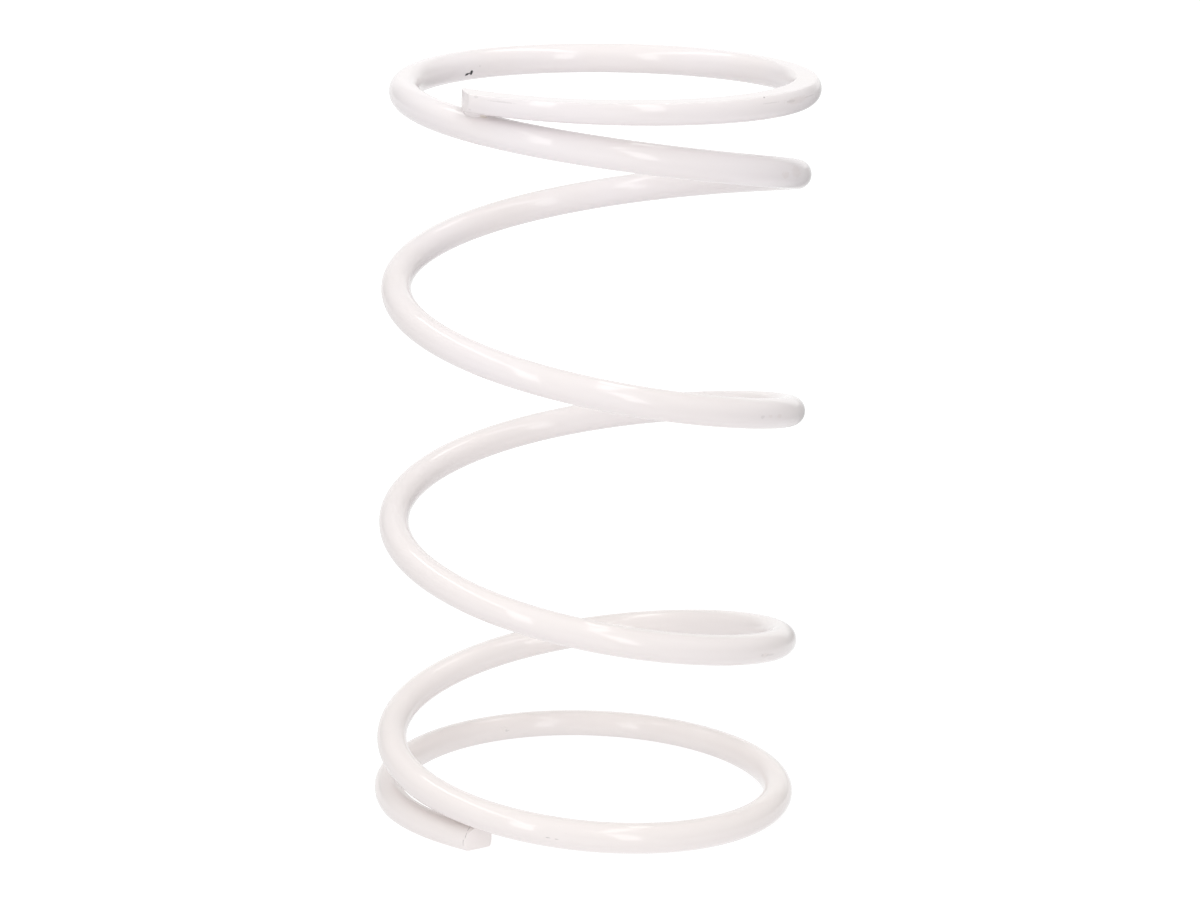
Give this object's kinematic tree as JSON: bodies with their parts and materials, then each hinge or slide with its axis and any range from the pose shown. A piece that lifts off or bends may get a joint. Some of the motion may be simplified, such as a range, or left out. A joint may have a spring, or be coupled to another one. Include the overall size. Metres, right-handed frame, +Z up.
{
  "type": "clutch spring",
  "caption": "White gloss-painted compression spring of round wire for a scooter clutch, wound left-hand and open, with closed, ground ends.",
  "frame": {"origin": "on the coil's axis, at the height of the ground face of the lower end coil", "axes": "+Z up along the coil's axis, +X to the right and +Y away from the side on which both wire tips lie"},
  "size_m": [0.0655, 0.0655, 0.1137],
  "materials": {
    "white_paint": "gloss white paint over spring steel wire, with a few small chips"
  },
  "bodies": {
    "root": {"coil_spring": "white_paint"}
  },
  "joints": []
}
